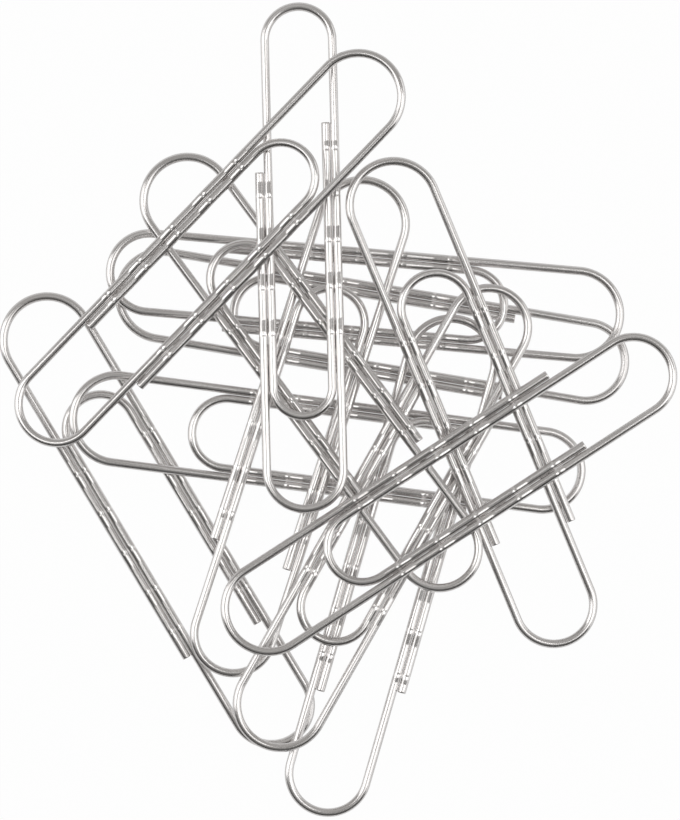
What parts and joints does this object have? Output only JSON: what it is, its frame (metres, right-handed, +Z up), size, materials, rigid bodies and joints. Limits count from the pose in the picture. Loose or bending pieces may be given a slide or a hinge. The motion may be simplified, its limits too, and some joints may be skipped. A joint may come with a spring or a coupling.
{
  "type": "paper clips",
  "caption": "Loose heap of wavy wire paper clips, each one bent wire whose inner tongue grips sheets of paper against its outer loop.",
  "frame": {"origin": "middle of the heap in plan, on the surface that it lies on", "axes": "+Z up from the surface, +Y along the heap's longer side, +X across it"},
  "size_m": [0.0986, 0.1186, 0.0101],
  "materials": {
    "plated_wire": "bright plated"
  },
  "bodies": {
    "clip_01": {"clip_01": "plated_wire"},
    "clip_02": {"clip_02": "plated_wire"},
    "clip_03": {"clip_03": "plated_wire"},
    "clip_04": {"clip_04": "plated_wire"},
    "clip_05": {"clip_05": "plated_wire"},
    "clip_06": {"clip_06": "plated_wire"},
    "clip_07": {"clip_07": "plated_wire"},
    "clip_08": {"clip_08": "plated_wire"},
    "clip_09": {"clip_09": "plated_wire"},
    "clip_10": {"clip_10": "plated_wire"},
    "clip_11": {"clip_11": "plated_wire"},
    "clip_12": {"clip_12": "plated_wire"}
  },
  "joints": [
    {"name": "clip_02_lift", "type": "slide", "parent": "clip_01", "child": "clip_02", "axis": [0, 0, 1], "range_m": [0, 0.015]},
    {"name": "clip_03_lift", "type": "slide", "parent": "clip_02", "child": "clip_03", "axis": [0, 0, 1], "range_m": [0, 0.015]},
    {"name": "clip_04_lift", "type": "slide", "parent": "clip_03", "child": "clip_04", "axis": [0, 0, 1], "range_m": [0, 0.015]},
    {"name": "clip_05_lift", "type": "slide", "parent": "clip_04", "child": "clip_05", "axis": [0, 0, 1], "range_m": [0, 0.015]},
    {"name": "clip_06_lift", "type": "slide", "parent": "clip_05", "child": "clip_06", "axis": [0, 0, 1], "range_m": [0, 0.015]},
    {"name": "clip_07_lift", "type": "slide", "parent": "clip_06", "child": "clip_07", "axis": [0, 0, 1], "range_m": [0, 0.015]},
    {"name": "clip_08_lift", "type": "slide", "parent": "clip_07", "child": "clip_08", "axis": [0, 0, 1], "range_m": [0, 0.015]},
    {"name": "clip_09_lift", "type": "slide", "parent": "clip_08", "child": "clip_09", "axis": [0, 0, 1], "range_m": [0, 0.015]},
    {"name": "clip_10_lift", "type": "slide", "parent": "clip_09", "child": "clip_10", "axis": [0, 0, 1], "range_m": [0, 0.015]},
    {"name": "clip_11_lift", "type": "slide", "parent": "clip_10", "child": "clip_11", "axis": [0, 0, 1], "range_m": [0, 0.015]},
    {"name": "clip_12_lift", "type": "slide", "parent": "clip_11", "child": "clip_12", "axis": [0, 0, 1], "range_m": [0, 0.015]}
  ]
}
